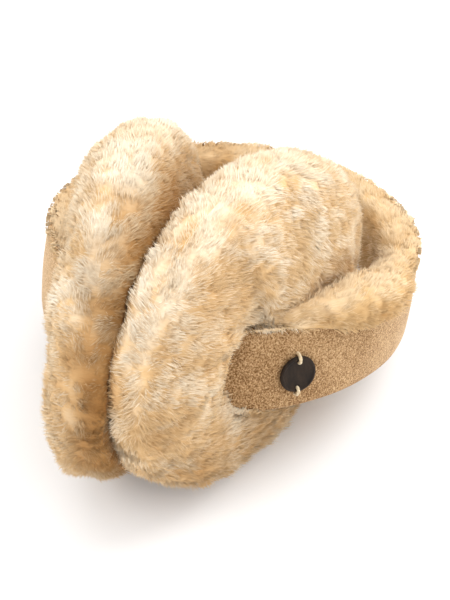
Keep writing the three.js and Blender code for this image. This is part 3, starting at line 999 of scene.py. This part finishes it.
# %% Where shade is painted into the colour
# Painted shade: the wool's colour is made deeper in the groove between the pads, low down on the pads
# and on the lining's right arm, where shade falls.
GROOVE_LEFT = 3.5 * MM  # how far the groove between the pads colours the left pad
GROOVE_RIGHT = 22 * MM
LOW_DOWN = (8 * MM, 62 * MM)  # and the wool is deeper in colour below these heights
RIGHT_ARM = 45 * MM  # the lining's colour deepens over this much to the right
BEHIND_PADS = 40 * MM  # and over this much from the pads' middle towards the top of the loop


def painted_shade_on_pads(places):
    """
    Painted shade on a pad's wool: most in the groove between the pads, spreading wider over the right
    pad, and half as much low down.
    """
    y, z = places[:, 1], places[:, 2]
    groove = 1 - smooth_step(np.abs(y), 0, np.where(y > 0, GROOVE_RIGHT, GROOVE_LEFT))
    return np.maximum(groove, 0.5 * (1 - smooth_step(z, *LOW_DOWN)))


def painted_shade_on_lining(places):
    """Painted shade on the lining's right arm, which the pads keep from the light."""
    return (0.7 * smooth_step(places[:, 1], 0, RIGHT_ARM)
            * smooth_step(places[:, 0], 0, BEHIND_PADS))


print("colour is deeper below", LOW_DOWN[1], "m")

# %% Wool finishes


def wool_finish(name, root, middle, tip, warm):
    """
    Wool whose colour runs from root over middle to tip. The place on the way is the height, less in
    creases, where shade is painted, and more where the tuft is light or faces up, where light from
    above is painted, with mottled patches and fine streaks. Wide patches are multiplied by warm, and
    wool in painted shade, in the groove, low down and on the lining's right arm, by a deeper brown.
    """
    finish = Finish(name, Roughness=0.9, Specular_IOR_Level=0.0, Sheen_Weight=0.8,
                    Sheen_Roughness=0.3, Sheen_Tint=linear(255, 232, 198))
    mottle = finish.noise(70) - 0.5
    streak = finish.node("TexNoise", 0, Vector=finish.attribute("lie", "Vector"), Scale=1100.0,
                         Detail=2.0)
    # along is raised by painted light on wool that faces up and lowered by painted shade in creases
    along = (finish.attribute("height") - 0.04 * finish.attribute("crease")
             + 0.07 * finish.attribute("tone") + 0.9 * mottle + 0.16 * (streak - 0.5)
             + 0.32 * (finish.attribute("bleach") - 0.35))
    colour = finish.ramp(along.clamped(), [(0.0, root), (0.5, middle), (0.95, tip)])
    golden = 0.5 * finish.noise(30, 1.5).rising(0.3, 0.5)
    colour = finish.blend(golden, colour, finish.blend(1.0, colour, warm, "MULTIPLY"))
    # painted shade: where deep says, the colour is multiplied by this brown
    painted_shade_colour = finish.blend(1.0, colour, linear(188, 168, 141), "MULTIPLY")
    finish.set(Base_Color=finish.blend(finish.attribute("deep"), colour, painted_shade_colour))
    finish.bump(streak, 0.6 * MM, 0.7)
    return finish.material


pad_wool = wool_finish("pad_wool", linear(198, 152, 98), linear(228, 194, 148),
                       linear(251, 241, 222), linear(249, 228, 194))
# The lining's colours are the pads' wool made deeper: painted shade for its place inside the loop, away
# from the light.
lining_wool = wool_finish("lining_wool", linear(176, 132, 80), linear(217, 181, 132),
                          linear(242, 218, 182), linear(247, 223, 184))
print("wool finishes:", pad_wool.name, "and", lining_wool.name)

# %% [markdown]
# ### The four discs
# A pad could be one piece, but it is sewn from two discs, and so every disc is a piece of its own,
# with a closed undercoat just below the wool's outer form. Where a disc touches the other pad or
# the strap, little or no wool stands out. All the wool was brushed one way, towards X, where the
# top of the headband lies, and on both faces of a pad it also lies from the rim to the middle.

# %% Room and brushing on the pads
BARE_FADE = 1.5 * MM  # the wool thins out over this much on both sides of the strap's outline
BARE_BELOW = 3 * MM  # no wool grows under the strap down to this far below its lining
BARE_ABOVE = 2 * MM  # or up to this far above its leather
PADS_NEAR = (0.5 * MM, 5 * MM)  # wool this near to the other pad is shorter
SHORTER_THERE = 0.75
SWIRL = 0.25
SWIRL_SIZE = 60 * MM
BRUSHED = np.array([0.8, 0, -0.2])  # towards the top of the headband, and a little down
PULL_TO_MIDDLE = 0.4
PULL_STARTS = (1 * MM, 12 * MM)  # the pull grows between these distances from the seam


def pad_room(side):
    """
    How much of its length a wisp on a pad may have: none under the strap, little against the
    other pad, and all of it elsewhere.
    """

    def room(root, normal):
        here = to_loop(root)
        distance, out, up = band_place(here)
        inside = smooth_step(half_width(distance) - np.abs(up), -BARE_FADE, BARE_FADE)
        lining = -(LEATHER + pile_depth(distance))
        under = inside * (out > lining - BARE_BELOW) * (out < BARE_ABOVE)
        turned_in = np.clip(-side * normal[:, 1], 0, 1)
        near = 1 - smooth_step(side * here[:, 1], *PADS_NEAR)
        return (1 - under) * (1 - SHORTER_THERE * near * turned_in)

    return room


def combed(chance, size, pull):
    """
    A comb as a function: the skin's own direction times a pull that changes from place to place, a
    slow swirl, and the one way in which all the wool was brushed.
    """
    field = swirl(chance, size)
    return lambda root, along: pull(root)[:, None] * along + SWIRL * field(root) + BRUSHED


def towards_the_middle(side):
    """The pull on a pad: from the rim to the middle of both faces, and nothing along the seam."""

    def pull(root):
        here = to_loop(root)
        turned = side * PAD_SPLAY
        level = side * (here[:, 1] * math.cos(turned) - here[:, 0] * math.sin(turned)) - PAD_HALF
        return -PULL_TO_MIDDLE * smooth_step(np.abs(level), *PULL_STARTS)

    return pull


print("all wool is brushed towards", BRUSHED)

# %% Grow the pads
INSET = 1.2 * MM  # the undercoat lies this far inside the wool's form
TUFT_SIZE = 8.5 * MM
UNDERCOAT_RELIEF = 0.5 * MM
LEAST_HEIGHT = 1 * MM  # the undercoat's height over the table
RINGS, RING_POINTS = 56, 170
RING_POWER = 0.8  # brings the rings closer together near a disc's middle
POLE_HOLE = 0.03  # the last ring's angle from the middle, in radians
SEAM_FADE = 16  # the tufts' relief grows over this many degrees from the seam
CORNER_UP = 3 * MM  # past the strap's end, only strands from above this height lie over it
EDGE_WITHIN = 0.5 * MM  # beside its edges, strands from this much inside the edge as well
# side: -1 left and 1 right; facing: -1 the ear's side and 1 outside; strands; seed
DISCS = ((-1, 1, 48000, 11), (-1, -1, 43000, 12), (1, 1, 40000, 13), (1, -1, 44000, 14))


def beside_strap(strands):
    """
    Which strands have their roots beside the strap's long edges or round its upper corners, so
    that they may lie over it. The end itself lies on the wool.
    """
    distance, _, up = band_place(to_loop(strands["root"]))
    half = half_width(distance)
    return np.where(half < 0, up > CORNER_UP, np.abs(up) > half - EDGE_WITHIN)


def grow_disc(side, facing, strands, seed):
    """One disc: its undercoat, its strands and its finish, riding on the root."""
    name = ("left" if side < 0 else "right") + ("_inner" if facing < 0 else "_outer")
    slopes = facing * np.degrees(np.linspace(1, 0, RINGS) ** RING_POWER * (np.pi / 2 - POLE_HOLE))
    chance = np.random.default_rng(seed)
    smooth = pad_skin(side, slopes, RING_POINTS, INSET)
    tufts = Tufts(smooth, TUFT_SIZE, chance)
    fade = smooth_step(np.abs(slopes), 0, SEAM_FADE)[:, None]
    skin = tufts.domed(smooth, UNDERCOAT_RELIEF, fade)
    skin.points[..., 2] = np.maximum(skin.points[..., 2], LEAST_HEIGHT)
    comb = combed(chance, SWIRL_SIZE, towards_the_middle(side))
    fleece = grow_fleece(skin, tufts, strands, chance, comb, pad_room(side))
    fleece = above_table(off_the_leather(fleece, beside_strap(fleece)))
    piece = fleece_piece(name + "_wool", skin, tufts, fleece, painted_shade_on_pads)
    piece.data.materials.append(pad_wool)
    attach(piece, "root")
    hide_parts(name.replace("_", "_pad_") + "_disc")


for disc in DISCS:
    grow_disc(*disc)

# %% [markdown]
# ## The lining
# The strap's inner side carries the same fleece. It stands off the leather by about a finger's
# width. Its section is a closed curve through a few points. A curve object with a bevel would keep
# one section all the way, but this one changes along the strap: near the left end it rises a
# centimetre over the strap's upper edge, rolls over it and hangs down a little on the outside.

# %% The lining's skin
# One row a point of the section: its depth as a share of the pile, its width as a share of the half
# width, how much it rises with the roll, and how far it reaches over the strap and hangs, in mm.
LINING_SECTION = np.array([
    (0.00, -0.90, 0.00, 0.0, 0.0), (0.00, 0.00, 0.00, 0.0, 0.0), (0.00, 0.90, 0.00, 0.0, 0.0),
    (0.00, 1.00, 0.06, 0.1, 0.0), (0.00, 1.00, 0.10, 3.0, 0.0), (0.00, 1.00, 0.08, 4.0, 1.6),
    (0.00, 1.00, 0.04, 4.4, 5.2), (0.00, 1.00, 0.10, 7.4, 6.4), (0.02, 1.00, 0.35, 9.0, 1.5),
    (0.12, 1.00, 0.80, 6.4, -1.0), (0.36, 1.00, 1.00, 1.5, -0.5), (0.66, 1.00, 0.70, 0.0, 0.0),
    (0.92, 0.84, 0.00, 0.0, 0.0), (1.00, 0.48, 0.00, 0.0, 0.0), (1.02, 0.12, 0.00, 0.0, 0.0),
    (1.00, -0.26, 0.00, 0.0, 0.0), (0.92, -0.62, 0.00, 0.0, 0.0), (0.62, -0.92, 0.00, 0.0, 0.0),
])
SECTION_POINTS = 54
LINING_ROWS = 200
LINING_STARTS = 3 * MM  # the lining starts this far from the strap's ends
LINING_ROUNDING = 12 * MM  # over this much the first rows lie closer together
LINING_TAPER = 8 * MM  # over this much the lining widens to the strap's width
THINNEST, NARROWEST = 0.6 * MM, 0.2 * MM  # the least depth and half width
INSET_ACROSS, INSET_AT_ROLL = 0.6, 0.3  # shares of the inset that are kept there
ROLL = {"at": 58 * MM, "spread": 44 * MM, "height": 10 * MM}
OVERHANG = {"least": 0.1, "more": 0.85, "grows": (10 * MM, 50 * MM), "ends": (74 * MM, 98 * MM)}


def overhang(distance):
    """How far the roll hangs over the strap: most of all a little way up from the left end."""
    grown = smooth_step(distance, *OVERHANG["grows"]) * (1 - smooth_step(distance, *OVERHANG["ends"]))
    return OVERHANG["least"] + OVERHANG["more"] * grown


def closed_curve(table, count):
    """A smooth closed curve through a table's rows: Catmull-Rom cubics between neighbours."""
    place = np.arange(count) * len(table) / count
    row, t = place.astype(int), (place % 1)[:, None]
    a, b, c, d = (table[(row + k) % len(table)] for k in (-1, 0, 1, 2))
    return 0.5 * (2 * b + (c - a) * t + (2 * a - 5 * b + 4 * c - d) * t**2
                  + (3 * b - a - 3 * c + d) * t**3)


def stations_with(near, start, count):
    """A column of distances: near to each end as given, and even from start to start."""
    even = np.linspace(start, BAND_LENGTH - start, count)
    return np.concatenate([near, even, (BAND_LENGTH - near)[::-1]])[:, None]


def lining_skin(inset):
    """The lining's grid: the section carried along the strap, its depth, roll and overhang changing."""
    near = LINING_STARTS + LINING_ROUNDING * (1 - np.cos(np.linspace(0.2, np.pi / 2, 6)))
    stations = stations_with(near, LINING_STARTS + LINING_ROUNDING + 1 * MM, LINING_ROWS)
    depth, width, roll, reach, drop = closed_curve(LINING_SECTION, SECTION_POINTS).T
    near_tip = np.minimum(stations, BAND_LENGTH - stations)
    half = np.maximum(half_width(stations) * smooth_step(near_tip, 0, LINING_TAPER), NARROWEST)
    pile = np.maximum(pile_depth(stations) - inset, THINNEST)
    rise = ROLL["height"] * np.exp(-(((stations - ROLL["at"]) / ROLL["spread"]) ** 2))
    hang = overhang(stations) * np.maximum(pile_depth(stations) / PILE_FULL, 0.5)
    out = -(LEATHER + GAP) - depth * pile + reach * MM * hang
    up = (width * (half - np.minimum(inset * INSET_ACROSS, half * 0.4) * (reach == 0))
          + roll * (rise - INSET_AT_ROLL * inset) - drop * MM * hang)
    points = band_point(stations, out, up)
    distance, out, up = band_place(points)
    over = (out > -LEATHER / 2) & (up < half + LEATHER_CLEARANCE)
    kept = np.where(over, np.maximum(out, BAND_CROWN + LEATHER_CLEARANCE), out)
    return Skin(to_table(points + (kept - out)[..., None] * on_line(OUTWARD, distance)))


print("the lining's section has", SECTION_POINTS, "points")

# %% Grow the lining
LINING_STRANDS = 70000
LINING_RELIEF = 0.6 * UNDERCOAT_RELIEF
LINING_SWIRL_SIZE = 50 * MM
GROWS_BELOW = 1.2 * MM  # strands grow at least this far under the leather,
GROWS_BESIDE = 1 * MM  # higher than this far below its upper edge,
GROWS_ABOVE = 1.5 * MM  # or at least this far over its outer face
LOW_EDGE = 8 * MM  # and they are shorter over this much at its lower edge
PULL_ALONG = 0.7
TOP_HALF = 40 * MM  # the pull turns round over this much on both sides of the strap's middle


def lining_room(root, normal):
    """
    Lining strands grow only where the wool stands clear of the leather, and shorter low down. The
    directions outwards are handed in too, as to the pads' room, but aren't needed here.
    """
    distance, out, up = band_place(to_loop(root))
    half = half_width(distance)
    free = ((out < -LEATHER - GROWS_BELOW) | (up > half - GROWS_BESIDE)
            | (out > BAND_CROWN + GROWS_ABOVE))
    return free * (1 - 0.5 * smooth_step(-up, half - LOW_EDGE, half))


def towards_the_top(root):
    """The pull on the lining: from both ends of the strap to its middle over the head."""
    distance = band_place(to_loop(root))[0]
    past = smooth_step(distance, BAND_LENGTH / 2 - TOP_HALF, BAND_LENGTH / 2 + TOP_HALF)
    return PULL_ALONG * (1 - 2 * past)


def over_upper_edge(strands):
    """Which lining strands grow above the strap's upper edge or outside it, and so hang over it."""
    distance, out, up = band_place(to_loop(strands["root"]))
    return (up > half_width(distance) - EDGE_WITHIN) | (out > 0)


def grow_lining(seed):
    """The lining's undercoat and strands, as one piece."""
    chance = np.random.default_rng(seed)
    smooth = lining_skin(INSET)
    tufts = Tufts(smooth, TUFT_SIZE, chance)
    skin = tufts.domed(smooth, LINING_RELIEF)
    comb = combed(chance, LINING_SWIRL_SIZE, towards_the_top)
    fleece = grow_fleece(skin, tufts, LINING_STRANDS, chance, comb, lining_room)
    fleece = above_table(off_the_leather(fleece, over_upper_edge(fleece)))
    piece = fleece_piece("lining_wool", skin, tufts, fleece, painted_shade_on_lining)
    piece.data.materials.append(lining_wool)
    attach(piece, "root")
    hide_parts("headband_wool")


grow_lining(21)

# %% [markdown]
# ## The suede strap
# The strap is one strip of sheepskin with its flesh side out, brushed to a nap. Its section is a
# thin crowned strip with rounded cut edges, carried along the headband's line. Solidify and Bevel
# modifiers on a flat strip would come close. Worked out whole, every point also knows its place
# along and across the leather, and the finish needs that.

# %% Build the strap
END_ROWS = 8
STRAP_ROWS = 200
FACE_POINTS, EDGE_POINTS = 25, 5
# slow waves of the leather: radians a metre along and across, phase and height
RIPPLES = ((95, 40, 0, 0.1 * MM), (211, -130, 1.3, 0.07 * MM), (37, 260, 0, 0.05 * MM))
WOBBLE = 0.25 * MM  # how far the upper edge wanders
WOBBLE_PACE = 160


def strap_section(faces, edges):
    """
    The strip's outline for a half width of 1: shares of the half width, of the thickness and of
    the crown. The outer face is a parabola, and each edge is half a circle.
    """
    face = np.linspace(-1, 1, faces)
    turn = np.linspace(np.pi / 2, -np.pi / 2, edges + 2)[1:-1]
    up = np.concatenate([face, np.ones(edges), face[::-1], -np.ones(edges)])
    bulge = np.concatenate([0 * face, np.cos(turn), 0 * face, -np.cos(turn)])
    deep = np.concatenate([0 * face, (1 - np.sin(turn)) / 2, 0 * face + 1,
                           (1 + np.sin(turn)) / 2])
    return up, bulge, deep


def ripple(distance, up):
    """A sum of sine waves that run along and across the strap, as soft leather keeps them."""
    return sum(high * np.sin(distance * along + up * across + phase)
               for along, across, phase, high in RIPPLES)


def build_strap():
    """The strap's mesh, closed at both rounded ends."""
    quarter = (np.arange(END_ROWS) + 0.5) / END_ROWS * np.pi / 2
    stations = stations_with(BAND_END * (1 - np.cos(quarter)), BAND_END, STRAP_ROWS)
    up, bulge, deep = strap_section(FACE_POINTS, EDGE_POINTS)
    half = half_width(stations)
    rounding = np.minimum(LEATHER / 2, half * 0.4)
    wobble = WOBBLE * np.sin(stations * WOBBLE_PACE) * (up * 0.5 + 0.5)
    across = up * (half - rounding) + bulge * rounding + wobble * np.abs(up)
    crown = BAND_CROWN * (half / BAND_HALF_WIDTH) ** 2 * (1 - (across / np.maximum(half, 1e-6)) ** 2)
    out = crown - deep * LEATHER + ripple(stations, across)
    points = to_table(band_point(stations, out, across))
    points[..., 2] = np.maximum(points[..., 2], 0)
    along, across = capped(np.stack([stations + 0 * up, across], -1)).T
    piece = add_mesh("suede_strap", *closed_shell(points), {"along": along, "across": across})
    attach(piece, "root")
    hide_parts("headband_suede")
    return piece


strap = build_strap()

# %% [markdown]
# Suede is matt and speckled: the brushed nap catches the light in one place and shades itself in
# the next. It could be grown as the wool is, but its fibres are too short to be told apart. Two
# fine noises give the speckle, and a wide one the patches that handling leaves.

# %% Suede finish
# Painted light along the strap: painted shade at the left end and a painted sheen towards the bend.
PAINTED_SHEEN_ALONG = (27.3 * MM, 90.9 * MM)  # paler from here, measured from the left end, over this much
# Painted highlight: a pale strip where a rolled upper edge would catch the light.
EDGE_HIGHLIGHT_ALONG = (29 * MM, 50 * MM)  # where the golden strip on the upper edge begins and ends
EDGE_HIGHLIGHT_SOFTLY = (3.33 * MM, 6.67 * MM)  # and over how much it does so
EDGE_HIGHLIGHT_UP = (13.7 * MM, 0.714 * MM)  # how high on the leather it starts, and over how much


def suede_finish():
    """
    Tan suede: a coarse speckled nap with painted light along it, darker at the left end by painted
    shade and paler towards the bend by a painted sheen. A painted highlight near the button stands
    for a rolled upper edge that catches the light.
    """
    finish = Finish("suede", Roughness=0.95, Specular_IOR_Level=0.1, Sheen_Weight=0.4,
                    Sheen_Roughness=0.35, Sheen_Tint=linear(255, 236, 214))
    speckle = finish.noise(1500, 2.0, 0.7)
    fine = finish.noise(3200, 2.0, 0.6)
    patch = finish.noise(48, 3.0, 0.6)
    along, across = finish.attribute("along"), finish.attribute("across")
    # painted sheen: paler towards the bend, darker at the left end
    painted_sheen = along.rising(*PAINTED_SHEEN_ALONG)
    tone = (0.36 + 2.4 * (speckle - 0.5) + 0.8 * (fine - 0.5) + 0.6 * (patch - 0.5)
            + 0.28 * painted_sheen).clamped()
    colour = finish.ramp(tone, [(0.0, linear(112, 78, 46)), (0.5, linear(180, 143, 101)),
                                (1.0, linear(222, 190, 148))])
    # painted highlight of a rolled upper edge near the button
    begun = along.rising(EDGE_HIGHLIGHT_ALONG[0], EDGE_HIGHLIGHT_SOFTLY[0])
    over = along.rising(EDGE_HIGHLIGHT_ALONG[1] - EDGE_HIGHLIGHT_SOFTLY[1], EDGE_HIGHLIGHT_SOFTLY[1])
    rolled_edge_highlight = across.rising(*EDGE_HIGHLIGHT_UP) * begun * (1 - over)
    finish.set(Base_Color=finish.blend(rolled_edge_highlight * 0.85, colour, linear(226, 190, 134)))
    finish.bump(speckle + 0.5 * fine, 0.35 * MM, 0.8)
    return finish.material


strap.data.materials.append(suede_finish())
print("the strap is finished in", strap.data.materials[0].name)

# %% [markdown]
# ## The button and its thread
# The button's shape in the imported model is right, so it only gets a finish of dark matt horn. A
# cream thread runs from each of its two holes over the rim and down into the suede. A bevelled
# curve would be a plain round wire. Here the circle's radius waves as it goes, as two plies do.

# %% Button finish


def horn_finish():
    """Dark matt horn with faint streaks and scratches."""
    finish = Finish("button_horn", Specular_IOR_Level=0.2)
    streak = finish.noise(420, 3.0, 0.6, (1, 1, 0.25))
    scratch = finish.noise(1800, 2.0, 0.6, (0.2, 1, 1))
    finish.set(Base_Color=finish.ramp(streak, [(0.25, linear(24, 17, 11)),
                                               (0.75, linear(52, 39, 28))]),
               Roughness=(0.5 + 0.25 * scratch).clamped())
    finish.bump(scratch, 0.08 * MM, 0.6)
    return finish.material


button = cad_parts["button"]
button.data.materials.clear()
button.data.materials.append(horn_finish())
print("the button is finished in", button.data.materials[0].name)

# %% Thread
BUTTON_AT = 28 * MM
BUTTON_UP = -2.5 * MM
BUTTON_RADIUS = 7.2 * MM
BUTTON_HEIGHT = 1.9 * MM
HOLE_OFFSET = 4.9 * MM
THREAD_RADIUS = 0.55 * MM
PLY_DEPTH = 0.16
PLY_TWIST = 9  # radians that the two plies turn over one stitch


def thread_points(path, radius, around=12, steps=40):
    """A two-ply thread: a circle carried along a path, its radius waving once per ply and twist."""
    t = np.linspace(0, 1, steps)
    knots = np.linspace(0, 1, len(path))
    weights = np.array([np.polyfit(knots, np.array(path)[:, k], 4) for k in range(3)])
    line = np.stack([np.polyval(w, t) for w in weights], 1)
    run = unit(np.gradient(line, axis=0))
    first = unit(np.cross(run, [1.0, 0.0, 0.0]))
    second = np.cross(run, first)
    turn = np.arange(around) / around * 2 * np.pi
    ply = 1 + PLY_DEPTH * np.abs(np.cos(turn[None] - t[:, None] * PLY_TWIST))
    ring = (first[:, None] * np.cos(turn)[None, :, None]
            + second[:, None] * np.sin(turn)[None, :, None])
    return line[:, None] + ring * (radius * ply)[..., None]


def stitch(name, sign):
    """One stitch, from inside the hole over the rim and down into the suede."""
    top = BAND_CROWN + GAP + BUTTON_HEIGHT
    path = [(0, top - 1.5 * MM, HOLE_OFFSET), (0, top + 0.3 * MM, HOLE_OFFSET + 0.5 * MM),
            (0, top + 0.5 * MM, HOLE_OFFSET + 1.7 * MM), (0, top - 0.5 * MM, BUTTON_RADIUS + 0.6 * MM),
            (0, -0.3 * MM, BUTTON_RADIUS + 1.0 * MM)]
    local = thread_points([(a, b, sign * c) for a, b, c in path], THREAD_RADIUS)
    points = to_table(band_point(BUTTON_AT + local[..., 0], local[..., 1],
                                 BUTTON_UP + local[..., 2]))
    piece = add_mesh(name, *closed_shell(points))
    finish = Finish(name, Roughness=0.8)
    finish.set(Base_Color=finish.ramp(finish.noise(1500), [(0.3, linear(196, 172, 132)),
                                                          (0.7, linear(236, 220, 190))]))
    piece.data.materials.append(finish.material)
    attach(piece, "root")


stitch("stitch_upper", 1)
stitch("stitch_lower", -1)
